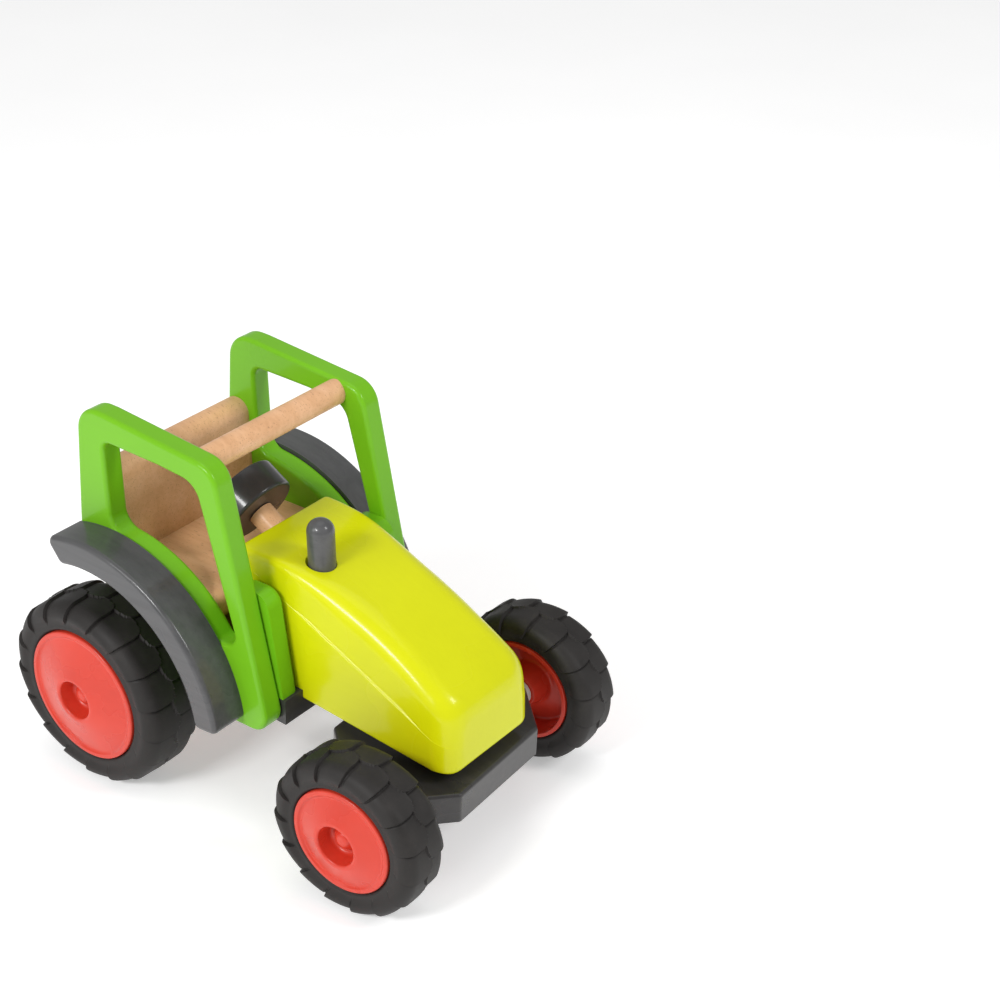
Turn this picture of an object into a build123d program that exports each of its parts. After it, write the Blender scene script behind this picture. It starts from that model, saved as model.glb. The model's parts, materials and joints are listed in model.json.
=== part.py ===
from build123d import *

import math
import os

# Toy tractor in painted beech with a steerable front axle board and plastic wheels.
# Millimetres. +X points forward, +Y to the tractor's left, +Z up.
# Parts are drawn with X = 0 over the rear axle and moved by MIDDLE_X at the end, so that
# the origin lies on the floor in the middle of the tractor.

MIDDLE_X = 77.6

# ---- wheels and axles ----
REAR_R = 50.5          # rear tyre radius, also the rear axle height
FRONT_R = 41.5         # front tyre radius
WHEELBASE = 164.2
REAR_TYRE_W = 35.0
FRONT_TYRE_W = 28.0
REAR_WHEEL_Y = 68.0    # middle of each rear tyre
FRONT_WHEEL_Y = 72.5
REAR_HUB_R = 35.0
FRONT_HUB_R = 27.0
REAR_BOSS = 5.0        # how far each hub's cone stands out beyond its rim
FRONT_BOSS = 3.5
RECESS_R = 10.4        # round recess in the middle of each hub
RECESS_D = 9.0
CAP_H = 4.2            # axle caps
ROD_R = 3.0            # axle rods
RUN = 0.05             # radial running clearance on rods and bolts
SHOULDER = 8.0         # tyre shoulder rounding

# ---- cab panels and fenders ----
PANEL_IN = 45.2        # inner face of each cab panel
PANEL_T = 12.0
PANEL_OUT = PANEL_IN + PANEL_T
FENDER_T = 19.5
FENDER_R_OUT = 82.0
FENDER_R_IN = 67.0
FENDER_X = 3.0         # centre of the fender arc
FENDER_Z = 52.0
SILL_R = 80.5          # window sill, concentric with the fender
ARCH_R = 55.0          # wheel arch in the cab panel, centred on the rear axle

# ---- chassis, tilted nose down because the front wheels are smaller ----
TILT = 3.5
PIVOT_X = 148.0
PIVOT_Z = 51.0         # underside of the chassis board at the steering pivot
BOARD_T = 14.0
TONGUE_W = 20.0        # half width of the chassis tongue under the hood
AXLE_BOARD_T = 16.0
AXLE_BOARD_HALF = 56.0
AXLE_BLOCK_HALF = 49.2
WASHER_T = 1.5
BOLT_R = 3.0
STEER = 3.0            # the front axle board stands turned a little to the left

# ---- hood ----
HOOD_W = 33.0          # half width at the side ridge
HOOD_BACK = 62.0
HOOD_FRONT = 190.5
HOOD_TOP = 134.0
HOOD_BROW = 70.0       # where the level top starts to fall
HOOD_CURVE = 310.0     # fall of the top = (distance from the brow) squared / HOOD_CURVE
HOOD_LOW = 53.5        # underside at the nose
HOOD_RISE = 0.095      # slope of the underside, up towards the cab
NOSE_R = 17.0
PEG_X = 101.5
PEG_Y = -15.5
PEG_R = 6.75
PEG_TOP = 154.5

# ---- steering wheel and column ----
COLUMN_R = 6.5
COLUMN_TILT = 31.0     # degrees below level, forwards
SPIGOT_R = 4.0
WHEEL_X = 40.0
WHEEL_Z = 137.0
WHEEL_R = 20.0
WHEEL_T = 16.5

ROOF_X = 59.0
ROOF_Z = 184.0
ROOF_R = 6.5
DOWEL_R = 4.0          # hidden joint dowels
SCREW_R = 2.0
GLUE = 0.02            # radial gap round a glued dowel

SIDE_DOWELS = [(-10.0, 125.0), (46.0, 102.0), (66.0, 63.0), (88.0, 61.7)]
SPACER_DOWEL = (84.0, 95.0)
FENDER_DOWEL_ANGLES = [22.0, 54.0, 84.0]
FENDER_DOWEL_R = 74.5
TOW_X = -46.0
TOW_R = 3.5
TOW_COLLAR_R = 5.0


# ------------------------------------------------------------ shared helpers

def chassis_frame():
    """Frame on the underside of the chassis board at the steering pivot."""
    return Pos(PIVOT_X, 0, PIVOT_Z) * Rot(0, TILT, 0)


def axle_frame():
    """Frame of the front axle board: the chassis frame turned by the steering angle."""
    return chassis_frame() * Rot(0, 0, STEER)


def axle_offset():
    """Front axle centre in the axle frame, forward distance and height."""
    dx = WHEELBASE - PIVOT_X
    dz = FRONT_R - PIVOT_Z
    t = math.radians(TILT)
    return dx * math.cos(t) - dz * math.sin(t), dx * math.sin(t) + dz * math.cos(t)


def front_axle_frame():
    forward, height = axle_offset()
    return axle_frame() * Pos(forward, 0, height)


def wheel_frame(front, side):
    """Frame at a wheel's middle with local Z pointing away from the tractor."""
    y = side * (FRONT_WHEEL_Y if front else REAR_WHEEL_Y)
    base = front_axle_frame() if front else Pos(0, 0, REAR_R)
    return base * Pos(0, y, 0) * Rot(-90 * side, 0, 0)


def column_frame():
    """Frame at the steering wheel's middle, local Z up the column to the driver."""
    return Pos(WHEEL_X, 0, WHEEL_Z) * Rot(0, COLUMN_TILT - 90, 0)


def side_plate(face, y0, y1):
    """Plate with its outline drawn in the side view (x, z), spanning y0 to y1."""
    plate = extrude(Plane.XZ * face, amount=y1 - y0)
    return Pos(0, y1, 0) * plate


def outline(points):
    return make_face(Polyline(*points, close=True))


def corner(face, point, radius):
    """Round the outline corner nearest to a point."""
    x, z = point
    vertex = min(face.vertices(), key=lambda v: math.hypot(v.X - x, v.Y - z))
    return fillet(vertex, radius)


def cross_pin(x, z, y0, y1, radius):
    """Round pin along Y."""
    return Pos(x, (y0 + y1) / 2, z) * Rot(90, 0, 0) * Cylinder(radius, y1 - y0)


def mirrored(part, side):
    """Parts are drawn for the left; side -1 gives the right-hand one."""
    return part if side > 0 else mirror(part, about=Plane.XZ)


def turned(points):
    """Solid of revolution about local Z from (radius, height) points."""
    return revolve(Plane.XZ * outline(points), Axis.Z)


# ------------------------------------------------------------ chassis

def chassis_solid():
    """Wide rear board, tongue under the hood and a short tail for the tow peg."""
    wide = Pos(-115.5, 0, BOARD_T / 2) * Box(135, 2 * PANEL_IN, BOARD_T)
    tongue = Pos(-9, 0, BOARD_T / 2) * Box(86, 2 * TONGUE_W, BOARD_T)
    tail = Pos(-191, 0, BOARD_T / 2) * Box(24, 36, BOARD_T)
    board = wide + tongue + tail
    ends = board.edges().filter_by(Axis.Z).group_by(Axis.X)[0]
    board = fillet(ends, 10)
    return chassis_frame() * board


def chassis_board():
    board = chassis_solid()
    for hole in chassis_pins(GLUE):
        board -= hole
    board -= chassis_frame() * (Pos(0, 0, 5) * Cylinder(BOLT_R, 14))
    board -= tow_spigot(GLUE)
    return board


def chassis_pins(extra):
    """Side dowels and the screws that hold the hood and the axle block."""
    pins = [cross_pin(x, z, 30, PANEL_IN + 8, DOWEL_R + extra) for x, z in SIDE_DOWELS[2:]]
    pins += [mirror(p, about=Plane.XZ) for p in pins]
    pins += [screw_body(x, extra) for x in (-38.0, 28.0)]
    return pins


def screw_body(x, extra):
    """Countersunk screw driven up through the tongue into the hood."""
    stem = Pos(x, 0, 15) * Cylinder(SCREW_R + extra, 28)
    head = Pos(x, 0, 1.7) * Cone(4 + extra, SCREW_R + extra, 2.6)
    return chassis_frame() * (stem + head)


def hood_screws():
    return screw_body(-38.0, 0) + screw_body(28.0, 0)


def rear_axle_block():
    block = Pos(0, 0, 52.5) * Box(26, 2 * AXLE_BLOCK_HALF, 21)
    block -= chassis_solid()
    block -= cross_pin(0, REAR_R, -70, 70, ROD_R + GLUE)
    lower = block.edges().filter_by(Axis.Y).group_by(Axis.Z)[0]
    return fillet(lower, 3)


def tow_spigot(extra):
    """Collar glued into the tail board, standing a little proud of it."""
    return Pos(TOW_X, 0, 71.5) * Cylinder(TOW_COLLAR_R + extra, 13)


def tow_peg():
    """Round-topped peg that the trailer's drawbar drops over."""
    stem = Pos(TOW_X, 0, 88) * Cylinder(TOW_R, 20)
    tip = stem.edges().group_by(Axis.Z)[-1]
    return fillet(tip, 2.5) + tow_spigot(0)


# ------------------------------------------------------------ cab

def panel_outline():
    rear = -19.5
    spring = REAR_R + math.sqrt(ARCH_R ** 2 - rear ** 2)
    foot = math.sqrt(ARCH_R ** 2 - (53 - REAR_R) ** 2)
    crown = (ARCH_R * math.cos(1.0), REAR_R + ARCH_R * math.sin(1.0))
    arch = ThreePointArc((foot, 53), crown, (rear, spring))
    rest = Polyline((rear, spring), (rear, 130), (-12.5, 196.5), (5, 196), (75.5, 189.5),
                    (100.6, 53), (foot, 53))
    face = make_face([arch, rest])
    face = corner(face, (-12.5, 196.5), 14)
    face = corner(face, (75.5, 189.5), 13)
    face = corner(face, (100.6, 53), 10)
    return corner(face, (rear, 130), 30)


def window_outline():
    """Window whose sill follows the fender and whose front edge follows the post."""
    centre = (FENDER_X, FENDER_Z)
    sill = CenterArc(centre, SILL_R, 33, 57)
    low = sill @ 0
    high = sill @ 1
    rest = Polyline(high, (high.X, 181), (40, 180), (63.2, 178), (83.3, 97), low)
    face = make_face([sill, rest])
    face = corner(face, (high.X, high.Y), 9)
    face = corner(face, (high.X, 181), 5)
    face = corner(face, (63.2, 178), 11)
    face = corner(face, (low.X, low.Y), 4)
    return corner(face, (83.3, 97), 7)


def cab_panel(side):
    plate = side_plate(panel_outline() - window_outline(), PANEL_IN, PANEL_OUT)
    rims = plate.faces().sort_by(Axis.Y)
    plate = fillet(rims[-1].edges() + rims[0].edges(), 2.2)
    for x, z in SIDE_DOWELS + [SPACER_DOWEL]:
        plate -= cross_pin(x, z, 40, PANEL_IN + 8, DOWEL_R + GLUE)
    plate -= cross_pin(ROOF_X, ROOF_Z, 30, PANEL_IN + 9, ROOF_R + GLUE)
    for x, z in fender_dowel_points():
        plate -= cross_pin(x, z, PANEL_OUT - 7, 70, SCREW_R + 1 + GLUE)
    return mirrored(plate, side)


def fender_dowel_points():
    points = []
    for angle in FENDER_DOWEL_ANGLES:
        a = math.radians(angle)
        points.append((FENDER_X + FENDER_DOWEL_R * math.cos(a),
                       FENDER_Z + FENDER_DOWEL_R * math.sin(a)))
    return points


def fender(side):
    centre = (FENDER_X, FENDER_Z)
    outer = CenterArc(centre, FENDER_R_OUT, 4, 105)
    inner = CenterArc(centre, FENDER_R_IN, 4, 101)
    face = make_face([outer, inner, Line(outer @ 0, inner @ 0), Line(outer @ 1, inner @ 1)])
    arch = side_plate(face, PANEL_OUT, PANEL_OUT + FENDER_T)
    ends = arch.edges().filter_by(Axis.Y)
    arch = fillet(ends, 4)
    outer_face = arch.faces().sort_by(Axis.Y)[-1]
    arch = fillet(outer_face.edges(), 2.5)
    for x, z in fender_dowel_points():
        arch -= cross_pin(x, z, 50, PANEL_OUT + 7, SCREW_R + 1 + GLUE)
    return mirrored(arch, side)


def fender_dowels(side):
    pins = [cross_pin(x, z, PANEL_OUT - 6.8, PANEL_OUT + 6.8, SCREW_R + 1)
            for x, z in fender_dowel_points()]
    return mirrored(pins[0] + pins[1] + pins[2], side)


def cab_spacer(side):
    """Upright block between the hood and the cab panel, standing on the chassis."""
    face = outline([(70, 62), (100, 62), (93, 123), (70, 123)])
    block = side_plate(face, HOOD_W + 1, PANEL_IN)
    block -= chassis_solid()
    top = block.edges().filter_by(Axis.Y).group_by(Axis.Z)[-1]
    block = fillet(top, 9)
    inner = block.faces().sort_by(Axis.Y)[0]
    block = fillet(inner.edges().group_by(Axis.Z)[-1], 4)
    block -= cross_pin(*SPACER_DOWEL, 20, 60, DOWEL_R + GLUE)
    return mirrored(block, side)


def side_dowels(side):
    """Joint dowels from one cab panel into the backrest, seat, chassis and hood."""
    group = cross_pin(*SPACER_DOWEL, 22, PANEL_IN + 7.8, DOWEL_R)
    for x, z in SIDE_DOWELS:
        group += cross_pin(x, z, 30, PANEL_IN + 7.8, DOWEL_R)
    return mirrored(group, side)


def dowel_holes(points, start):
    """Holes for side dowels, both sides."""
    holes = []
    for x, z in points:
        hole = cross_pin(x, z, start, 60, DOWEL_R + GLUE)
        holes += [hole, mirror(hole, about=Plane.XZ)]
    return holes


def backrest():
    board = Pos(-10, 0, 111.3) * Box(16, 2 * PANEL_IN, 98.6)
    top = board.edges().filter_by(Axis.Y).group_by(Axis.Z)[-1]
    board = fillet(top, 7.4)
    board -= chassis_solid()
    for hole in dowel_holes(SIDE_DOWELS[:1], 29.8):
        board -= hole
    return board


def seat():
    board = Pos(28, 0, 102) * Box(60, 2 * PANEL_IN, 16)
    front = board.edges().filter_by(Axis.Y).group_by(Axis.X)[-1]
    board = fillet(front, 5)
    for hole in dowel_holes(SIDE_DOWELS[1:2], 29.8):
        board -= hole
    return board


def seat_riser():
    block = Pos(28, 0, 77) * Box(40, 60, 34)
    return block - chassis_solid()


def roof_dowel():
    return cross_pin(ROOF_X, ROOF_Z, -PANEL_IN - 8.8, PANEL_IN + 8.8, ROOF_R)


# ------------------------------------------------------------ hood

def hood_outline():
    """Side view: level behind, then a parabola that steepens to the rounded nose."""
    chin = HOOD_LOW + HOOD_RISE * (HOOD_FRONT - HOOD_BACK)
    nose = HOOD_TOP - (HOOD_FRONT - HOOD_BROW) ** 2 / HOOD_CURVE
    middle = (HOOD_BROW + HOOD_FRONT) / 2
    crest = Bezier((HOOD_BROW, HOOD_TOP), (middle, HOOD_TOP), (HOOD_FRONT, nose))
    rest = Polyline((HOOD_FRONT, nose), (HOOD_FRONT, HOOD_LOW), (HOOD_BACK, chin),
                    (HOOD_BACK, HOOD_TOP), (HOOD_BROW, HOOD_TOP))
    return corner(make_face([crest, rest]), (HOOD_FRONT, nose), NOSE_R)


def hood_bevel(side):
    """Slab that shaves the side above the ridge, which runs down towards the nose."""
    start = Vector(98, HOOD_W, 112)
    along = Vector(168, HOOD_W, 78.5) - start
    up = Vector(98, HOOD_W - 3, HOOD_TOP) - start
    plane = Plane(origin=start, x_dir=along, z_dir=up.cross(along))
    slab = extrude(plane * Rectangle(500, 400), amount=30)
    return mirrored(slab, side)


def hood():
    """Sloping block whose nose corners are round in plan, with inward-leaning upper sides."""
    length = HOOD_FRONT - HOOD_BACK
    plan = Rectangle(length, 2 * HOOD_W)
    plan = fillet(plan.vertices().group_by(Axis.X)[-1], 12)
    column = Pos(HOOD_BACK + length / 2, 0, 40) * extrude(plan, amount=110)
    block = side_plate(hood_outline(), -HOOD_W, HOOD_W) & column
    block -= hood_bevel(1)
    block -= hood_bevel(-1)
    block -= chassis_solid()
    block -= peg_hole()
    block -= column_stock(GLUE)
    block -= hood_screws()
    for hole in dowel_holes([SPACER_DOWEL], 21.8):
        block -= hole
    return block


def peg_hole():
    bore = Pos(PEG_X, PEG_Y, 125) * Cylinder(PEG_R + GLUE, 24)
    mouth = Pos(PEG_X, PEG_Y, 131.2) * Cone(PEG_R, PEG_R + 1.8, 3.6)
    return bore + mouth


def exhaust_peg():
    peg = Pos(PEG_X, PEG_Y, (PEG_TOP + 113.2) / 2) * Cylinder(PEG_R, PEG_TOP - 113.2)
    return fillet(peg.edges().group_by(Axis.Z)[-1], PEG_R - 0.3)


# ------------------------------------------------------------ steering wheel

def column_stock(extra):
    """The part of the column that sits in the hood."""
    return column_frame() * (Pos(0, 0, -24.3) * Cylinder(COLUMN_R + extra, 31))


def steering_column():
    stock = Pos(0, 0, -24.15) * Cylinder(COLUMN_R, 30.9)
    spigot = Pos(0, 0, -2.35) * Cylinder(SPIGOT_R, 12.7)
    column = stock + spigot
    column -= Pos(0, 0, -1) * Cylinder(1.5, 14)
    return column_frame() * column


def steering_wheel():
    disc = Cylinder(WHEEL_R, WHEEL_T)
    disc = fillet(disc.edges(), 1.6)
    disc -= Cylinder(SPIGOT_R + RUN, 40)
    disc -= Pos(0, 0, WHEEL_T / 2 - 1.9) * Cylinder(8, 4)
    return column_frame() * disc


def steering_screw():
    """Pan-head screw and washer that keep the wheel on the column."""
    head = Pos(0, 0, 5.6) * Cylinder(6.4, 2.4)
    head = fillet(head.edges().group_by(Axis.Z)[-1], 1.5)
    head -= Pos(0, 0, 6.6) * Box(8, 1.2, 1.2)
    stem = Pos(0, 0, -0.6) * Cylinder(1.48, 10.2)
    return column_frame() * (head + stem)


# ------------------------------------------------------------ front axle

def front_axle_block():
    """Eight-sided board that swings on the pivot bolt and carries the front axle."""
    points = [(45.5, 32), (22, AXLE_BOARD_HALF), (-4, AXLE_BOARD_HALF), (-33, 28)]
    points += [(x, -y) for x, y in reversed(points)]
    board = extrude(outline(points), amount=-AXLE_BOARD_T)
    board = fillet(board.edges().filter_by(Axis.Z), 2.5)
    rim = board.faces().sort_by(Axis.Z)[-1]
    board = fillet(rim.edges(), 1.8)
    board = Pos(0, 0, -WASHER_T) * board
    forward, height = axle_offset()
    board -= Pos(forward, 0, height) * Rot(90, 0, 0) * Cylinder(ROD_R + GLUE, 130)
    board -= Pos(0, 0, -10) * Cylinder(BOLT_R + RUN, 30)
    board -= Pos(0, 0, -WASHER_T - AXLE_BOARD_T + 1.8) * Cylinder(8.4, 4.4)
    return axle_frame() * board


def pivot_bolt():
    """Bolt driven up through the axle board into the chassis."""
    stem = Pos(0, 0, -2.2) * Cylinder(BOLT_R - 0.01, 27.8)
    head = Pos(0, 0, -WASHER_T - AXLE_BOARD_T + 2.1) * Cylinder(6.5, 3)
    head = fillet(head.edges().group_by(Axis.Z)[0], 1.2)
    return chassis_frame() * (stem + head)


def pivot_washer():
    ring = Pos(0, 0, -WASHER_T / 2) * (Cylinder(10, WASHER_T - 0.1) - Cylinder(BOLT_R, 5))
    return chassis_frame() * ring


# ------------------------------------------------------------ wheels

def hub_heights(front):
    """Heights above the wheel's middle of a hub's rim, cone top and recess floor."""
    rim = (FRONT_TYRE_W if front else REAR_TYRE_W) / 2 - 0.6
    top = rim + (FRONT_BOSS if front else REAR_BOSS)
    return rim, top, top - RECESS_D


def axle_rod(front):
    frame = front_axle_frame() if front else Pos(0, 0, REAR_R)
    middle = FRONT_WHEEL_Y if front else REAR_WHEEL_Y
    rim, top, floor = hub_heights(front)
    return frame * Rot(90, 0, 0) * Cylinder(ROD_R, 2 * (middle + floor + 2.1))


def tyre(front, side):
    hub_r = FRONT_HUB_R if front else REAR_HUB_R
    tyre_r = FRONT_R if front else REAR_R
    half = (FRONT_TYRE_W if front else REAR_TYRE_W) / 2
    face = outline([(hub_r, -half), (tyre_r, -half), (tyre_r, half), (hub_r, half)])
    for point in ((tyre_r, half), (tyre_r, -half)):
        face = corner(face, point, SHOULDER * tyre_r / REAR_R)
    for point in ((hub_r, half), (hub_r, -half)):
        face = corner(face, point, 1.5)
    ring = revolve(Plane.XZ * face, Axis.Z)
    return wheel_frame(front, side) * ring


def hub(front, side):
    """Hub whose cone rises from a low rim lip to a round recess in the middle."""
    radius = FRONT_HUB_R if front else REAR_HUB_R
    rim, top, floor = hub_heights(front)
    bore = ROD_R + RUN
    points = [(bore, floor), (RECESS_R - 0.8, floor), (RECESS_R, top - 1.0),
              (RECESS_R + 1.6, top), (radius - 4.0, rim - 0.9), (radius - 2.6, rim),
              (radius - 1.0, rim), (radius, rim - 0.8), (radius, 0.2 - rim),
              (radius - 2.6, 0.2 - rim), (radius - 3.6, 0), (11.5, -2.5), (8.5, -rim), (bore, -rim)]
    return wheel_frame(front, side) * turned(points)


def axle_cap(front, side):
    """Domed push-on cap over the rod end, inside the hub's recess."""
    base = hub_heights(front)[2] + 0.4
    cap = Pos(0, 0, base + CAP_H / 2) * Cylinder(6.6, CAP_H)
    cap = fillet(cap.edges().group_by(Axis.Z)[-1], 2.8)
    cap -= Pos(0, 0, base + 0.7) * Cylinder(ROD_R, 2.0)
    return wheel_frame(front, side) * cap


def wheel_washers(front):
    """Flat washers between the wheels and the wood, one each side."""
    middle = FRONT_WHEEL_Y if front else REAR_WHEEL_Y
    width = FRONT_TYRE_W if front else REAR_TYRE_W
    start = AXLE_BOARD_HALF if front else AXLE_BLOCK_HALF
    gap = middle - width / 2 + 0.3 - start
    ring = Pos(0, 0, start + gap / 2 - middle) * (Cylinder(7, gap) - Cylinder(ROD_R, 9))
    return wheel_frame(front, 1) * ring + wheel_frame(front, -1) * ring


# ------------------------------------------------------------ all pieces

def all_parts():
    parts = {
        "chassis_board": chassis_board(),
        "rear_axle_block": rear_axle_block(),
        "hood": hood(),
        "hood_screws": hood_screws(),
        "exhaust_peg": exhaust_peg(),
        "steering_column": steering_column(),
        "steering_wheel": steering_wheel(),
        "steering_screw": steering_screw(),
        "backrest": backrest(),
        "seat": seat(),
        "seat_riser": seat_riser(),
        "roof_dowel": roof_dowel(),
        "tow_peg": tow_peg(),
        "front_axle_block": front_axle_block(),
        "pivot_bolt": pivot_bolt(),
        "pivot_washer": pivot_washer(),
        "front_axle_rod": axle_rod(True),
        "rear_axle_rod": axle_rod(False),
        "front_wheel_washers": wheel_washers(True),
        "rear_wheel_washers": wheel_washers(False),
    }
    for side, name in ((1, "left"), (-1, "right")):
        parts["cab_panel_" + name] = cab_panel(side)
        parts["fender_" + name] = fender(side)
        parts["fender_dowels_" + name] = fender_dowels(side)
        parts["cab_spacer_" + name] = cab_spacer(side)
        parts["side_dowels_" + name] = side_dowels(side)
        for front, end in ((True, "front"), (False, "rear")):
            parts["tyre_" + end + "_" + name] = tyre(front, side)
            parts["hub_" + end + "_" + name] = hub(front, side)
            parts["axle_cap_" + end + "_" + name] = axle_cap(front, side)
    return parts


os.makedirs("parts", exist_ok=True)
for name, part in all_parts().items():
    export_step(Pos(-MIDDLE_X, 0, 0) * part, "parts/" + name + ".step")
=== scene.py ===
import json
import math

import bmesh
import bpy
from mathutils import Matrix, Vector

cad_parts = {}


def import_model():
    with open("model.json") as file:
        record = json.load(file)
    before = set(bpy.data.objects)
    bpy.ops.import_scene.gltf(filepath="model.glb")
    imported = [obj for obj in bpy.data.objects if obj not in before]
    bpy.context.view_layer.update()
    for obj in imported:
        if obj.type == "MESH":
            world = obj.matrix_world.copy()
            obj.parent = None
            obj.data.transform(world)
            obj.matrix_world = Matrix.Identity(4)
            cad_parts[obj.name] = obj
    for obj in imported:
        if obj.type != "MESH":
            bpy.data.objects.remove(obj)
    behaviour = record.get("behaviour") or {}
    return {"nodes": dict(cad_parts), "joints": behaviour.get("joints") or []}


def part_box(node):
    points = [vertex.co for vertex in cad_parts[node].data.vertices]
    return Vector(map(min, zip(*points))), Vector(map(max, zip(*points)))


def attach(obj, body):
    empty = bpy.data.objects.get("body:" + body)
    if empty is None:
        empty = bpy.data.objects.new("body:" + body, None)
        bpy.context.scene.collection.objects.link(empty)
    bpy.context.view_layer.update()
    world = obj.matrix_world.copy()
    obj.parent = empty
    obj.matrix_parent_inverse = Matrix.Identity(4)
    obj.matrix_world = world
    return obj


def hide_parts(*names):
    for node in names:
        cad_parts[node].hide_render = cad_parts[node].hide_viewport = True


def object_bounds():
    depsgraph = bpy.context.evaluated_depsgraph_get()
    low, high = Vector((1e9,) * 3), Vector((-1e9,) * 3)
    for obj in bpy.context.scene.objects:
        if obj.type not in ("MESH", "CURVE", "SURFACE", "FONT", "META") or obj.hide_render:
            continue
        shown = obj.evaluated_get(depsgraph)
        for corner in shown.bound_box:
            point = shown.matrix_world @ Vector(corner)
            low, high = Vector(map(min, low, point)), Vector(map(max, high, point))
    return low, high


# Looks of the toy tractor: lacquered beech boards, moulded red hubs and lugged tyres, around
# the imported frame. Lengths are in metres, and small ones are written as millimetres * MM.

MM = 0.001

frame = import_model()
NODES = frame["nodes"]
JOINTS = {joint["name"]: joint for joint in frame["joints"]}
cad_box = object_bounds()

SIDES = ("left", "right")
ENDS = ("front", "rear")


# ------------------------------------------------------------ node helpers

def socket(shader, name, value):
    """Set a constant on a shader's input."""
    shader.inputs[name].default_value = value


class Nodes:
    """A material and short ways to add and join its shader nodes."""

    def __init__(self, name):
        self.material = bpy.data.materials.new(name)
        self.material.use_nodes = True
        self.tree = self.material.node_tree
        self.shader = self.tree.nodes["Principled BSDF"]
        self.coords = self.add("ShaderNodeTexCoord").outputs["Object"]

    def add(self, kind, **values):
        node = self.tree.nodes.new(kind)
        for key, value in values.items():
            setattr(node, key, value)
        return node

    def link(self, source, target):
        self.tree.links.new(source, target)

    def stretched(self, scale, turn=(0, 0, 0)):
        """Object coordinates turned and scaled, so that noise can run along the grain."""
        mapping = self.add("ShaderNodeMapping")
        mapping.inputs["Scale"].default_value = scale
        mapping.inputs["Rotation"].default_value = turn
        self.link(self.coords, mapping.inputs["Vector"])
        return mapping.outputs["Vector"]

    def noise(self, vector, scale=1.0, detail=3.0, roughness=0.5, distortion=0.0):
        node = self.add("ShaderNodeTexNoise")
        node.inputs["Scale"].default_value = scale
        node.inputs["Detail"].default_value = detail
        node.inputs["Roughness"].default_value = roughness
        node.inputs["Distortion"].default_value = distortion
        self.link(vector, node.inputs["Vector"])
        return node.outputs["Fac"]

    def ramp(self, factor, stops):
        """Colour ramp from (place, colour) stops."""
        node = self.add("ShaderNodeValToRGB")
        elements = node.color_ramp.elements
        elements[0].position, elements[0].color = stops[0][0], (*stops[0][1], 1)
        elements[1].position, elements[1].color = stops[-1][0], (*stops[-1][1], 1)
        for place, colour in stops[1:-1]:
            elements.new(place).color = (*colour, 1)
        self.link(factor, node.inputs["Fac"])
        return node.outputs["Color"]

    def levels(self, factor, low, high, out_low, out_high):
        """Clamped map from one range of values to another."""
        node = self.add("ShaderNodeMapRange", clamp=True)
        for name, value in (("From Min", low), ("From Max", high),
                            ("To Min", out_low), ("To Max", out_high)):
            node.inputs[name].default_value = value
        self.link(factor, node.inputs["Value"])
        return node.outputs["Result"]

    def mix(self, factor, first, second, blend="MIX"):
        """Mix two colour outputs or constants by an output or a constant."""
        node = self.add("ShaderNodeMix", data_type="RGBA", blend_type=blend)
        for target, value in ((node.inputs[0], factor), (node.inputs[6], first),
                              (node.inputs[7], second)):
            if isinstance(value, bpy.types.NodeSocket):
                self.link(value, target)
            elif isinstance(value, tuple):
                target.default_value = (*value, 1)
            else:
                target.default_value = value
        return node.outputs[2]

    def bump(self, height, distance, strength, below=None):
        """Surface relief from a height output, on top of an earlier relief if one is given."""
        node = self.add("ShaderNodeBump")
        node.inputs["Strength"].default_value = strength
        node.inputs["Distance"].default_value = distance
        self.link(height, node.inputs["Height"])
        if below is not None:
            self.link(below, node.inputs["Normal"])
        return node.outputs["Normal"]


# turns that lay a material's grain along X, Y or Z
GRAIN_TURN = {"X": (0, 0, 0), "Y": (0, 0, math.pi / 2), "Z": (0, math.pi / 2, 0)}


def grain_scale(along, across):
    """Noise scale along local X, the way of the grain, and across it."""
    return (along, across, across)


# ------------------------------------------------------------ materials

def lacquer(name, colour, grain="X", rough=0.3, coat=0.35, vary=0.03):
    """Opaque paint on beech: even colour with faint grain telegraphing through the gloss."""
    n = Nodes(name)
    fibre = n.noise(n.stretched(grain_scale(14, 420), GRAIN_TURN[grain]), detail=4)
    cloud = n.noise(n.coords, scale=22, detail=2)
    speck = n.noise(n.coords, scale=900, detail=2)
    deep = tuple(c * (1 - vary) for c in colour)
    light = tuple(min(1, c * (1 + vary)) for c in colour)
    base = n.ramp(cloud, [(0.3, deep), (0.5, colour), (0.7, light)])
    streak = n.ramp(fibre, [(0.32, (1 - vary,) * 3), (0.6, (1.0,) * 3)])
    base = n.mix(0.5, base, streak, "MULTIPLY")
    n.link(base, n.shader.inputs["Base Color"])
    n.link(n.levels(cloud, 0.3, 0.7, rough - 0.03, rough + 0.05), n.shader.inputs["Roughness"])
    relief = n.bump(fibre, 0.035 * MM, 0.5)
    relief = n.bump(speck, 0.008 * MM, 0.5, relief)
    n.link(relief, n.shader.inputs["Normal"])
    socket(n.shader, "Coat Weight", coat)
    socket(n.shader, "Coat Roughness", 0.1)
    socket(n.shader, "Specular IOR Level", 0.15)
    return n.material


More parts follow.
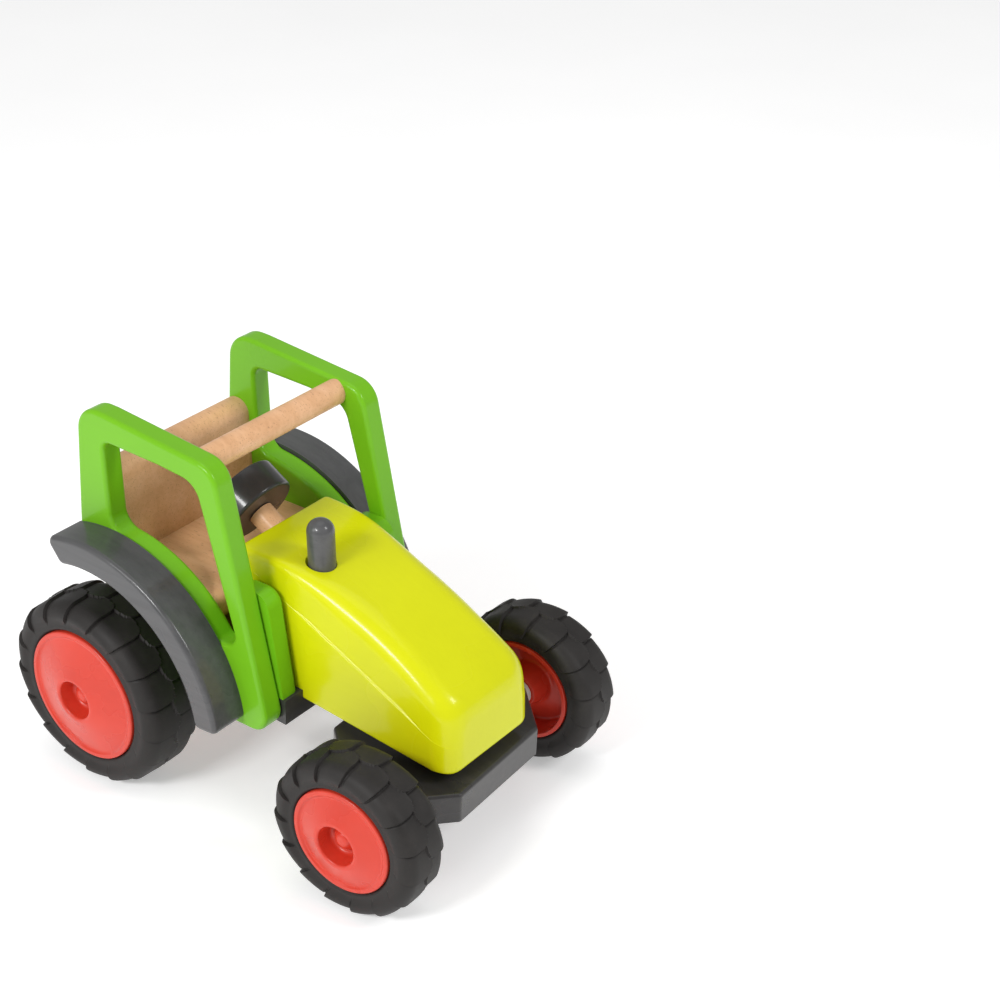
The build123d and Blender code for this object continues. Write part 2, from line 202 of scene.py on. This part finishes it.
def stained(name, colour, grain="X"):
    """Dark glossy lacquer over grain: fine streaks show in colour and in the gloss."""
    n = Nodes(name)
    along = n.stretched(grain_scale(9, 260), GRAIN_TURN[grain])
    fibre = n.noise(along, detail=5, roughness=0.6)
    band = n.noise(n.stretched(grain_scale(3, 60), GRAIN_TURN[grain]), detail=2)
    cloud = n.noise(n.coords, scale=30, detail=3)
    dark = tuple(c * 0.86 for c in colour)
    light = tuple(c * 1.12 for c in colour)
    base = n.ramp(fibre, [(0.3, dark), (0.5, colour), (0.72, light)])
    wash = n.ramp(band, [(0.3, (0.93, 0.93, 0.94)), (0.7, (1.04, 1.03, 1.02))])
    base = n.mix(0.8, base, wash, "MULTIPLY")
    n.link(base, n.shader.inputs["Base Color"])
    n.link(n.levels(cloud, 0.3, 0.7, 0.26, 0.34), n.shader.inputs["Roughness"])
    n.link(n.bump(fibre, 0.05 * MM, 0.6), n.shader.inputs["Normal"])
    socket(n.shader, "Coat Weight", 0.35)
    socket(n.shader, "Coat Roughness", 0.12)
    socket(n.shader, "Specular IOR Level", 0.25)
    return n.material


def beech(name, grain="Y"):
    """Clear-lacquered beech: pinkish tan, soft growth bands and short dark ray flecks."""
    n = Nodes(name)
    turn = GRAIN_TURN[grain]
    fibre = n.noise(n.stretched(grain_scale(12, 380), turn), detail=5, roughness=0.62)
    band = n.noise(n.stretched(grain_scale(4, 70), turn), detail=3, distortion=0.6)
    fleck = n.noise(n.stretched(grain_scale(260, 1500), turn), detail=1)
    base = n.ramp(band, [(0.25, (0.68, 0.375, 0.19)), (0.5, (0.76, 0.44, 0.235)),
                         (0.75, (0.83, 0.51, 0.30))])
    streak = n.ramp(fibre, [(0.3, (0.88, 0.83, 0.78)), (0.62, (1.0, 1.0, 1.0))])
    base = n.mix(0.8, base, streak, "MULTIPLY")
    dots = n.levels(fleck, 0.64, 0.72, 0.0, 0.55)
    base = n.mix(dots, base, (0.36, 0.17, 0.08))
    n.link(base, n.shader.inputs["Base Color"])
    n.link(n.levels(fibre, 0.3, 0.7, 0.5, 0.4), n.shader.inputs["Roughness"])
    relief = n.bump(fibre, 0.08 * MM, 0.6)
    relief = n.bump(fleck, 0.03 * MM, 0.35, relief)
    n.link(relief, n.shader.inputs["Normal"])
    socket(n.shader, "Specular IOR Level", 0.35)
    socket(n.shader, "Coat Weight", 0.15)
    socket(n.shader, "Coat Roughness", 0.25)
    return n.material


def rubber(name):
    """Matt black tyre with a fine moulded skin, and a little dust where it is rough."""
    n = Nodes(name)
    skin = n.noise(n.coords, scale=2600, detail=2)
    cloud = n.noise(n.coords, scale=75, detail=5, roughness=0.65)
    base = n.ramp(cloud, [(0.3, (0.014, 0.0122, 0.0112)), (0.55, (0.021, 0.0185, 0.0172)),
                          (0.8, (0.034, 0.0300, 0.0280))])
    n.link(base, n.shader.inputs["Base Color"])
    n.link(n.levels(cloud, 0.3, 0.7, 0.5, 0.66), n.shader.inputs["Roughness"])
    relief = n.bump(skin, 0.05 * MM, 0.5)
    relief = n.bump(cloud, 0.15 * MM, 0.35, relief)
    n.link(relief, n.shader.inputs["Normal"])
    socket(n.shader, "Specular IOR Level", 0.3)
    return n.material


def moulded_red(name):
    """Glossy red plastic with a slight glow inside and the soft ripple of a moulding."""
    n = Nodes(name)
    ripple = n.noise(n.coords, scale=55, detail=2)
    skin = n.noise(n.coords, scale=1800, detail=2)
    base = n.ramp(ripple, [(0.3, (0.58, 0.038, 0.019)), (0.7, (0.64, 0.046, 0.023))])
    n.link(base, n.shader.inputs["Base Color"])
    n.link(n.levels(ripple, 0.3, 0.7, 0.24, 0.32), n.shader.inputs["Roughness"])
    relief = n.bump(ripple, 0.1 * MM, 0.25)
    relief = n.bump(skin, 0.015 * MM, 0.4, relief)
    n.link(relief, n.shader.inputs["Normal"])
    socket(n.shader, "Specular IOR Level", 0.4)
    socket(n.shader, "Subsurface Weight", 0.1)
    socket(n.shader, "Subsurface Radius", (0.004, 0.0012, 0.0006))
    socket(n.shader, "Subsurface Scale", 0.6)
    return n.material


def steel(name):
    """Bright zinc-plated steel, brushed along its length."""
    n = Nodes(name)
    brushed = n.noise(n.stretched(grain_scale(60, 1600)), detail=3)
    spots = n.noise(n.coords, scale=160, detail=4)
    base = n.ramp(spots, [(0.3, (0.46, 0.46, 0.47)), (0.7, (0.64, 0.64, 0.63))])
    n.link(base, n.shader.inputs["Base Color"])
    n.link(n.levels(brushed, 0.3, 0.7, 0.24, 0.42), n.shader.inputs["Roughness"])
    n.link(n.bump(brushed, 0.02 * MM, 0.5), n.shader.inputs["Normal"])
    socket(n.shader, "Metallic", 1.0)
    return n.material


def nylon(name):
    """Milky white washers."""
    n = Nodes(name)
    cloud = n.noise(n.coords, scale=120, detail=3)
    skin = n.noise(n.coords, scale=2200, detail=2)
    base = n.ramp(cloud, [(0.3, (0.60, 0.57, 0.50)), (0.7, (0.72, 0.69, 0.62))])
    n.link(base, n.shader.inputs["Base Color"])
    n.link(n.levels(cloud, 0.3, 0.7, 0.42, 0.55), n.shader.inputs["Roughness"])
    n.link(n.bump(skin, 0.02 * MM, 0.5), n.shader.inputs["Normal"])
    socket(n.shader, "Subsurface Weight", 0.08)
    return n.material


LIME = lacquer("lime_lacquer", (0.655, 0.675, 0.003), "X", rough=0.26, coat=0.25)
GREEN_POST = lacquer("green_lacquer", (0.165, 0.465, 0.010), "Z", rough=0.3, coat=0.25)
GREY = stained("grey_stain", (0.078, 0.078, 0.080), "X")
GREY_UPRIGHT = stained("grey_stain_upright", (0.085, 0.085, 0.088), "Z")
GREY_BOARD = stained("grey_stain_board", (0.045, 0.043, 0.043), "Y")
DARK = stained("dark_grey_lacquer", (0.030, 0.029, 0.030), "Y")
BEECH_ACROSS = beech("beech_across", "Y")
BEECH_UPRIGHT = beech("beech_upright", "Z")
BEECH_ALONG = beech("beech_along", "X")
RUBBER = rubber("tyre_rubber")
RED = moulded_red("red_plastic")
STEEL = steel("zinc_steel")
NYLON = nylon("nylon")


def dress(node, material):
    """Give a CAD node its material on every slot."""
    mesh = NODES[node].data
    if not mesh.materials:
        mesh.materials.append(material)
    for i in range(len(mesh.materials)):
        mesh.materials[i] = material


DRESSING = {
    GREEN_POST: ["cab_panel_left", "cab_panel_right", "cab_spacer_left", "cab_spacer_right"],
    GREY: ["fender_left", "fender_right"],
    GREY_BOARD: ["chassis_board", "front_axle_block"],
    GREY_UPRIGHT: ["exhaust_peg"],
    DARK: ["steering_wheel"],
    BEECH_ACROSS: ["rear_axle_block", "backrest", "seat", "roof_dowel", "side_dowels_left",
                   "side_dowels_right", "fender_dowels_left", "fender_dowels_right"],
    BEECH_UPRIGHT: ["tow_peg", "seat_riser"],
    BEECH_ALONG: ["steering_column"],
    STEEL: ["hood_screws", "pivot_bolt", "front_axle_rod", "rear_axle_rod", "steering_screw"],
    NYLON: ["pivot_washer", "front_wheel_washers", "rear_wheel_washers"],
}
for material, names in DRESSING.items():
    for name in names:
        dress(name, material)


# ------------------------------------------------------------ mesh helpers

def clean_mesh(name, verts, faces):
    """Mesh with doubled vertices joined and its faces turned outward."""
    mesh = bpy.data.meshes.new(name)
    mesh.from_pydata(verts, [], faces)
    mesh.validate()
    bm = bmesh.new()
    bm.from_mesh(mesh)
    bmesh.ops.remove_doubles(bm, verts=bm.verts, dist=1e-7)
    bmesh.ops.recalc_face_normals(bm, faces=bm.faces)
    bm.to_mesh(mesh)
    bm.free()
    return mesh


def add_object(name, data):
    """New object in the scene that shows a mesh, a light or a camera."""
    obj = bpy.data.objects.new(name, data)
    bpy.context.scene.collection.objects.link(obj)
    return obj


def shade(mesh, sharp_angle):
    """Smooth shading that breaks at edges sharper than an angle in degrees."""
    mesh.shade_smooth()
    mesh.set_sharp_from_angle(angle=math.radians(sharp_angle))


def piece(name, verts, faces, material, body, replaced, sharp_angle=40):
    """New mesh object that stands for CAD nodes and rides on a body."""
    mesh = clean_mesh(name, verts, faces)
    mesh.materials.append(material)
    shade(mesh, sharp_angle)
    obj = add_object(name, mesh)
    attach(obj, body)
    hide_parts(*replaced)
    return obj


def arc_points(before, corner, after, radius, count):
    """Points of a fillet of the corner between two straight runs, in the plane."""
    a, b, c = Vector(before), Vector(corner), Vector(after)
    u, v = (a - b).normalized(), (c - b).normalized()
    half = u.angle(v) / 2
    reach = min(radius / math.tan(half), 0.49 * (a - b).length, 0.49 * (c - b).length)
    radius = reach * math.tan(half)
    centre = b + (u + v).normalized() * radius / math.sin(half)
    first, last = b + u * reach - centre, b + v * reach - centre
    total = first.angle_signed(last)
    points = []
    for i in range(count):
        turn = Matrix.Rotation(-total * i / (count - 1), 2)
        points.append(tuple(centre + turn @ first))
    return points


def rounded_path(corners, count=6, closed=False):
    """Polyline with fillets from (x, y, radius) corners; radius 0 keeps a corner sharp."""
    points = []
    total = len(corners)
    for i, (x, y, radius) in enumerate(corners):
        inner = closed or 0 < i < total - 1
        if not inner or radius == 0:
            points.append((x, y))
            continue
        before = corners[i - 1][:2]
        after = corners[(i + 1) % total][:2]
        points += arc_points(before, (x, y), after, radius, count)
    return points


def frame_on(centre, axis):
    """Matrix with local Z along an axis, at a centre."""
    z = Vector(axis).normalized()
    x = Vector((1, 0, 0)) if abs(z.x) < 0.9 else Vector((0, 1, 0))
    y = z.cross(x).normalized()
    x = y.cross(z)
    turn = Matrix((x, y, z)).transposed().to_4x4()
    return Matrix.Translation(centre) @ turn


def lathe(profile, placing, segments):
    """Vertices and faces of a profile of (radius, height) turned about local Z."""
    verts = []
    for i in range(segments):
        a = 2 * math.pi * i / segments
        for r, z in profile:
            verts.append(tuple(placing @ Vector((r * math.cos(a), r * math.sin(a), z))))
    count = len(profile)
    faces = []
    for i in range(segments):
        j = (i + 1) % segments
        for k in range(count - 1):
            faces.append((i * count + k, j * count + k, j * count + k + 1, i * count + k + 1))
    return verts, faces


# ------------------------------------------------------------ wheels

LUG_COUNT = {"front": 15, "rear": 17}
TREAD_DEPTH = 1.9 * MM
LUG_FALL = 0.72         # share of the tread depth that a lug loses over one pitch
LUG_OVERLAP = 1.3 * MM  # how far the lugs of each side reach over the middle
LUG_TIP_R = 5.5 * MM    # rounding of a lug's tip near the middle
LUG_TIP_FALL = 0.5 * MM
LUG_START = 0.075       # where the lugs begin to rise, in profile lengths from the bead
LUG_RISE = 0.09         # and the length over which they rise
LUG_SWEEP = 0.42        # how far a lug's end lies back on the sidewall, in pitches
SWEEP_END = 0.32        # where that sweep ends, in profile lengths from the bead
GROOVE = 0.3            # groove at the foot of a lug's end, in tread depths
GROOVE_PLACE = 0.81 * MM
GROOVE_SPREAD = 0.45 * MM
WALL_INSET = 0.03       # sidewall's distance inside the tread's edge, in outer radii
SHOULDER_R = 0.125      # in outer radii
SHOULDER_DROP = 0.5 * MM
CROWN_R = 90 * MM
BEAD_R = 1.2 * MM
ANGLE_STEPS_PER_LUG = 34
PROFILE_STEPS = 84

RECESS_R = 10.4 * MM    # round recess in the middle of a hub
RECESS_DEPTH = 9 * MM
BORE_R = 3.1 * MM
SLEEVE_R = 8.6 * MM     # sleeve round the bore, in the hub's hollow back


def wheel_axis(end, side):
    """Outward unit vector along a wheel's axle."""
    axis = Vector(JOINTS["{}_wheel_{}".format(end, side)]["axis"]).normalized()
    return axis if side == "left" else -axis


def measure(node, centre, axis):
    """Outer radius, inner radius, top and bottom of a turned node about its axis."""
    offsets = [v.co - centre for v in NODES[node].data.vertices]
    heights = [d.dot(axis) for d in offsets]
    radii = [(d - axis * h).length for d, h in zip(offsets, heights)]
    return max(radii), min(radii), max(heights), min(heights)


def box_centre(node):
    """Middle of a node's box."""
    low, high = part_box(node)
    return (low + high) / 2


def smoothstep(x):
    """Soft step from 0 at 0 to 1 at 1."""
    x = min(1.0, max(0.0, x))
    return x * x * (3 - 2 * x)


def tyre_profile(outer, bead, half):
    """Even samples from bead to bead, and their length.

    A sample is a radius, a height, the outward normal's two parts and the way along.
    """
    wall = half - WALL_INSET * outer
    core = outer - TREAD_DEPTH
    corners = [(bead, wall - 1.4 * MM, 0), (bead + BEAD_R, wall + 0.3 * MM, BEAD_R),
               (core - SHOULDER_DROP, half - TREAD_DEPTH, SHOULDER_R * outer),
               (core, 0, CROWN_R)]
    corners += [(r, -z, fillet) for r, z, fillet in reversed(corners[:-1])]
    side = rounded_path(corners, count=14)
    lengths = [0.0]
    for p, q in zip(side, side[1:]):
        lengths.append(lengths[-1] + math.dist(p, q))
    total = lengths[-1]
    samples = []
    k = 0
    for i in range(PROFILE_STEPS + 1):
        s = total * i / PROFILE_STEPS
        while k < len(lengths) - 2 and lengths[k + 1] < s:
            k += 1
        t = (s - lengths[k]) / max(1e-12, lengths[k + 1] - lengths[k])
        p, q = Vector(side[k]), Vector(side[k + 1])
        samples.append((p.lerp(q, t), s))
    profile = []
    for i, (point, s) in enumerate(samples):
        before = samples[max(0, i - 2)][0]
        after = samples[min(len(samples) - 1, i + 2)][0]
        along = (after - before).normalized()
        profile.append((point.x, point.y, -along.y, along.x, s))
    return profile, total


def lug_lag(across, total, pitch):
    """How far the front of a lug lies back at a distance from the bead, in pitches."""
    tip = (across - (total / 2 + LUG_OVERLAP - LUG_TIP_R)) / LUG_TIP_R
    tip = min(1.0, max(0.0, tip))
    lag = LUG_TIP_R / pitch * (1 - math.sqrt(1 - tip * tip))
    wall = max(0.0, 1 - across / (SWEEP_END * total))
    return lag + LUG_SWEEP * wall * wall


def lug_height(turn, across, total, pitch):
    """Height share of one side's lugs; each rises to an abrupt front and hides the next."""
    reach = total / 2 + LUG_OVERLAP
    behind = math.ceil(turn - 1e-6) - turn
    ahead = (1 - behind) * pitch
    groove = GROOVE * math.exp(-((ahead - GROOVE_PLACE) / GROOVE_SPREAD) ** 2)
    height = 1 - LUG_FALL * behind - groove
    height *= smoothstep((across - LUG_START * total) / (LUG_RISE * total))
    return height * (1 - smoothstep((across - reach) / LUG_TIP_FALL))


def lug_rows(profile, total, pitch):
    """Profiles over one pitch of the tread, as (radius, height, turn in pitches) rows."""
    rows = []
    for i in range(ANGLE_STEPS_PER_LUG):
        turn = i / ANGLE_STEPS_PER_LUG
        row = []
        for r, z, out_r, out_z, s in profile:
            lag = lug_lag(min(s, total - s), total, pitch)
            share = 0.0
            for across, offset in ((s, 0.0), (total - s, 0.5)):
                own = turn + offset + lug_lag(across, total, pitch) - lag
                share = max(share, lug_height(own, across, total, pitch))
            h = TREAD_DEPTH * share
            row.append((r + out_r * h, z + out_z * h, turn - lag))
        rows.append(row)
    return rows


def tyre(end, side):
    """Tyre with two rows of overlapping lugs, half a pitch apart, that point the way it rolls."""
    node = "tyre_{}_{}".format(end, side)
    axis = Vector(JOINTS["{}_wheel_{}".format(end, side)]["axis"]).normalized()
    centre = box_centre(node)
    outer, bead, half, _ = measure(node, centre, axis)
    profile, total = tyre_profile(outer, bead, half)
    count = LUG_COUNT[end]
    one_lug = lug_rows(profile, total, 2 * math.pi * outer / count)
    placing = frame_on(centre, axis)
    verts = []
    for lug in range(count):
        for row in one_lug:
            for r, z, turn in row:
                a = 2 * math.pi * (lug + turn) / count
                verts.append(tuple(placing @ Vector((r * math.cos(a), r * math.sin(a), z))))
    rows = len(profile)
    steps = count * ANGLE_STEPS_PER_LUG
    faces = []
    for i in range(steps):
        j = (i + 1) % steps
        for k in range(rows):
            m = (k + 1) % rows
            faces.append((i * rows + k, j * rows + k, j * rows + m, i * rows + m))
    piece(node + "_lugged", verts, faces, RUBBER, "wheel_{}_{}".format(end, side),
          [node], 38)


def hub(end, side):
    """Moulded hub: thin rim lip, cone rising to a soft round boss with a recess in it."""
    node = "hub_{}_{}".format(end, side)
    axis = wheel_axis(end, side)
    centre = box_centre("tyre_{}_{}".format(end, side))
    radius, _, top, back = measure(node, centre, axis)
    edge = radius - 0.1 * MM
    rim = -back
    bottom = top - RECESS_DEPTH
    recess = [(BORE_R, bottom, 0), (RECESS_R - 1.4 * MM, bottom, 2.5 * MM),
              (RECESS_R - 0.2 * MM, top, 2.6 * MM)]
    cone = [(RECESS_R + 1.8 * MM, top - 0.1 * MM, 3.5 * MM),
            (radius - 3.7 * MM, rim - 1.0 * MM, 1.6 * MM)]
    lip = [(radius - 2.4 * MM, rim, 0.8 * MM), (edge, rim, 0.9 * MM),
           (edge, back + 0.3 * MM, 0.4 * MM), (radius - 2.2 * MM, back, 0.4 * MM)]
    hollow = [(radius - 3.4 * MM, 0, 1.5 * MM), (SLEEVE_R + 2.9 * MM, -2.5 * MM, 2 * MM),
              (SLEEVE_R, back, 0.5 * MM), (BORE_R, back, 0)]
    profile = rounded_path(recess + cone + lip + hollow, count=8)
    verts, faces = lathe(profile + [profile[0]], frame_on(centre, axis), 160)
    piece(node + "_coned", verts, faces, RED, "wheel_{}_{}".format(end, side),
          [node])


def axle_cap(end, side):
    """Smooth domed push-on cap on the rod's end."""
    node = "axle_cap_{}_{}".format(end, side)
    axis = wheel_axis(end, side)
    centre = box_centre(node)
    radius, _, top, bottom = measure(node, centre, axis)
    corners = [(0.0, top, 0), (0.45 * radius, top, 0.9 * radius),
               (radius, top - 0.55 * radius, 0.7 * radius), (radius, bottom, 0.3 * MM),
               (0.0, bottom, 0)]
    body = "front_axle" if end == "front" else "tractor"
    verts, faces = lathe(rounded_path(corners, count=9), frame_on(centre, axis), 96)
    piece(node + "_domed", verts, faces, RED, body, [node])


for end in ENDS:
    for side in SIDES:
        tyre(end, side)
        hub(end, side)
        axle_cap(end, side)


# ------------------------------------------------------------ hood

HOOD_LOW, HOOD_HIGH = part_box("hood")
BACK, FRONT = HOOD_LOW.x, HOOD_HIGH.x
BASE, TOP = HOOD_LOW.z, HOOD_HIGH.z
BROW = BACK + 8 * MM     # where the level top begins to fall
CURVE = 310 * MM         # fall of the top = (distance from the brow) squared / CURVE
NOSE_R = 17 * MM
PLAN_R = 12 * MM
CHIN_R = 3.5 * MM
REAR_R = 2.5 * MM
RISE = 0.095             # slope of the underside
RIDGE_X = BACK + 36 * MM
RIDGE_Z = TOP - 22 * MM  # height of the side's ridge at RIDGE_X
RIDGE_FALL = 0.4786      # slope of the ridge
LEAN = 3 / 22            # how the side leans in above the ridge
STEP = 1.1 * MM          # rounded step at the ridge
STEP_LEAST = 0.12 * MM
STEP_IN = (BACK + 32 * MM, 14 * MM)   # where the step begins, and the length it grows over
STEP_OUT = (BACK + 98 * MM, 16 * MM)
RIDGE_BELOW_TOP = 10 * MM    # the ridge keeps at least this far below the top's edge
RIDGE_ABOVE_BASE = 4 * MM    # and this far above the underside
EDGE_R = 4 * MM          # rounding of the top's edge at the back
EDGE_MORE = 9 * MM       # and how much it gains
EDGE_GROWS = (BACK + 20 * MM, 50 * MM)
REAR_SECTIONS, SIDE_SECTIONS, NOSE_SECTIONS = 6, 44, 40


def nose_arc():
    """Start and centre height of the nose rounding, tangent to the falling top and the front."""
    start = FRONT
    for _ in range(30):  # settles well before this
        slope = math.atan(2 * (start - BROW) / CURVE)
        start = FRONT - NOSE_R + NOSE_R * math.sin(slope)
    height = TOP - (start - BROW) ** 2 / CURVE - NOSE_R * math.cos(slope)
    return start, height


NOSE_X, NOSE_Z = nose_arc()


def roof(x):
    """Height of the top: level, then falling, then round the nose."""
    if x > NOSE_X:
        return NOSE_Z + math.sqrt(max(0, NOSE_R ** 2 - (x - FRONT + NOSE_R) ** 2))
    return TOP - max(0, x - BROW) ** 2 / CURVE


def quarter(x, start, radius):
    """How far a quarter-round of a radius has closed in at x."""
    reach = min(radius, max(0.0, x - start))
    return radius - math.sqrt(max(0.0, radius ** 2 - reach ** 2))


def grown(x, start, run):
    """Soft growth from 0 to 1 over a run that begins at start."""
    return smoothstep((x - start) / run)


def hood_places():
    """Places of the sections: dense round the back edge and the nose."""
    middle = FRONT - NOSE_R
    places = [BACK + REAR_R * (1 - math.cos(math.pi / 2 * i / REAR_SECTIONS))
              for i in range(REAR_SECTIONS + 1)]
    flat = places[-1]
    places += [flat + (middle - flat) * i / SIDE_SECTIONS for i in range(1, SIDE_SECTIONS + 1)]
    places += [middle + NOSE_R * math.sin(math.pi / 2 * i / NOSE_SECTIONS)
               for i in range(1, NOSE_SECTIONS + 1)]
    return places


def hood_section(x):
    """Rounded polygon of the hood at x: upright side, ridge, leaning side and top."""
    end_in = quarter(2 * (BACK + REAR_R) - x, BACK + REAR_R, REAR_R)
    w = HOOD_HIGH.y - quarter(x, FRONT - PLAN_R, PLAN_R) - end_in
    bottom = BASE + RISE * (FRONT - x) + quarter(x, FRONT - CHIN_R, CHIN_R) + end_in
    height = roof(x) - end_in
    ridge = RIDGE_Z - RIDGE_FALL * (x - RIDGE_X)
    step = STEP_LEAST + STEP * grown(x, *STEP_IN) * (1 - grown(x, *STEP_OUT))
    lean = max(LEAN * max(0, height - ridge), step + 0.1 * MM)
    ridge = max(min(ridge, height - RIDGE_BELOW_TOP), bottom + RIDGE_ABOVE_BASE)
    edge_r = EDGE_R + EDGE_MORE * grown(x, *EDGE_GROWS)
    half = [(w - 0.02 * MM, bottom, 2.5 * MM), (w, ridge, 1.3 * MM),
            (w - step, ridge + 0.9 * step, 2.5 * MM), (w - lean, height, edge_r)]
    corners = half + [(-y, z, r) for y, z, r in reversed(half)]
    return [(x, y, z) for y, z in rounded_path(corners, count=10, closed=True)]


def countersink(surface, peg_r):
    """Profile of the softly countersunk hole that the exhaust peg stands in."""
    above, below = surface + 3 * MM, surface - 12 * MM
    return rounded_path([(0, above, 0), (peg_r + 2.0 * MM, above, 0),
                         (peg_r + 0.2 * MM, surface - 1.4 * MM, 1.0 * MM),
                         (peg_r + 0.15 * MM, below, 0), (0, below, 0)], 8)


def carve(obj, profile, placing, sharp_angle):
    """Cut a turned shape out of a piece and keep the result as its mesh."""
    cutter = add_object("cutter", clean_mesh("cutter", *lathe(profile, placing, 96)))
    modifier = obj.modifiers.new("carve", "BOOLEAN")
    modifier.operation = "DIFFERENCE"
    modifier.solver = "EXACT"
    modifier.object = cutter
    bpy.context.view_layer.update()
    evaluated = obj.evaluated_get(bpy.context.evaluated_depsgraph_get())
    result = bpy.data.meshes.new_from_object(evaluated)
    obj.modifiers.remove(modifier)
    obj.data = result
    shade(result, sharp_angle)
    bpy.data.objects.remove(cutter)


def hood():
    """Lofted hood with a closed front and back and the exhaust peg's hole."""
    loops = [hood_section(x) for x in hood_places()]
    count = len(loops[0])
    verts = [point for loop in loops for point in loop]
    faces = []
    for i in range(len(loops) - 1):
        for k in range(count):
            m = (k + 1) % count
            faces.append((i * count + k, i * count + m, (i + 1) * count + m, (i + 1) * count + k))
    faces.append(tuple(range(count)))
    faces.append(tuple((len(loops) - 1) * count + k for k in range(count)))
    obj = piece("hood_shell", verts, faces, LIME, "tractor", ["hood"], 35)
    peg_low, peg_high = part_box("exhaust_peg")
    seat = Vector(((peg_low.x + peg_high.x) / 2, (peg_low.y + peg_high.y) / 2, 0))
    profile = countersink(roof(seat.x), (peg_high.x - peg_low.x) / 2)
    carve(obj, profile, frame_on(seat, (0, 0, 1)), 35)


hood()


# ------------------------------------------------------------ floor, light and camera

FLOOR_HALF = 3.0
FLOOR_GLOW = 0.35
WORLD_LIGHT = 0.45
MIDDLE = (0.0, 0.0, 0.08)
SOFTBOXES = {  # place, size and power
    "left_box": ((-0.55, -1.35, 0.8), (0.4, 0.6), 3.2),
    "front_box": ((0.02, -1.3, 1.05), (0.45, 0.22), 12),
    "right_box": ((1.35, 0.35, 1.3), (0.35, 0.5), 9.5),
    "top_box": ((-0.1, 0.2, 1.7), (1.2, 1.2), 4),
}


def floor_material():
    """Near-white paper, glowing a little so that it stays white in the shade."""
    n = Nodes("pale_floor")
    cloud = n.noise(n.coords, scale=4, detail=4)
    base = n.ramp(cloud, [(0.3, (0.90, 0.90, 0.90)), (0.7, (0.93, 0.93, 0.93))])
    n.link(base, n.shader.inputs["Base Color"])
    n.link(n.levels(cloud, 0.3, 0.7, 0.55, 0.65), n.shader.inputs["Roughness"])
    n.link(n.bump(n.noise(n.coords, scale=500), 0.02 * MM, 0.3), n.shader.inputs["Normal"])
    socket(n.shader, "Emission Color", (1, 1, 1, 1))
    socket(n.shader, "Emission Strength", FLOOR_GLOW)
    return n.material


def floor():
    """Square floor at the height of the tyres' lowest point."""
    mesh = bpy.data.meshes.new("floor")
    z = cad_box[0].z
    square = [(-1, -1), (1, -1), (1, 1), (-1, 1)]
    mesh.from_pydata([(FLOOR_HALF * x, FLOOR_HALF * y, z) for x, y in square], [], [(0, 1, 2, 3)])
    mesh.materials.append(floor_material())
    add_object("floor", mesh)


def softbox(name, place, size, power):
    """White rectangular light that faces the tractor's middle."""
    light = bpy.data.lights.new(name, "AREA")
    light.shape = "RECTANGLE"
    light.size, light.size_y = size
    light.energy = power
    obj = add_object(name, light)
    obj.location = place
    obj.rotation_euler = (Vector(MIDDLE) - Vector(place)).to_track_quat("-Z", "Y").to_euler()


def world():
    """Even white light from all round."""
    scene = bpy.context.scene
    scene.world = bpy.data.worlds.new("studio")
    scene.world.use_nodes = True
    background = scene.world.node_tree.nodes["Background"]
    background.inputs["Color"].default_value = (1.0, 1.0, 1.0, 1)
    background.inputs["Strength"].default_value = WORLD_LIGHT


CAMERA_AZIMUTH = 37.57
CAMERA_HEIGHT_ANGLE = 29.17
CAMERA_ROLL = -0.17
CAMERA_PLACE = (0.5872, -0.6106, 0.6193)
CAMERA_LENS = 72.76


def camera():
    """Camera in front of the tractor's right side, looking down on it."""
    data = bpy.data.cameras.new("camera")
    data.lens = CAMERA_LENS
    data.sensor_width = 36
    data.clip_start = 0.01
    obj = add_object("camera", data)
    a, e = math.radians(CAMERA_AZIMUTH), math.radians(CAMERA_HEIGHT_ANGLE)
    forward = Vector((-math.sin(a) * math.cos(e), math.cos(a) * math.cos(e), -math.sin(e)))
    turn = forward.to_track_quat("-Z", "Y").to_matrix().to_4x4()
    roll = Matrix.Rotation(math.radians(CAMERA_ROLL), 4, "Z")
    obj.matrix_world = Matrix.Translation(CAMERA_PLACE) @ turn @ roll
    bpy.context.scene.camera = obj


floor()
world()
for name, (place, size, power) in SOFTBOXES.items():
    softbox(name, place, size, power)
camera()
bpy.context.scene.view_settings.view_transform = "Standard"
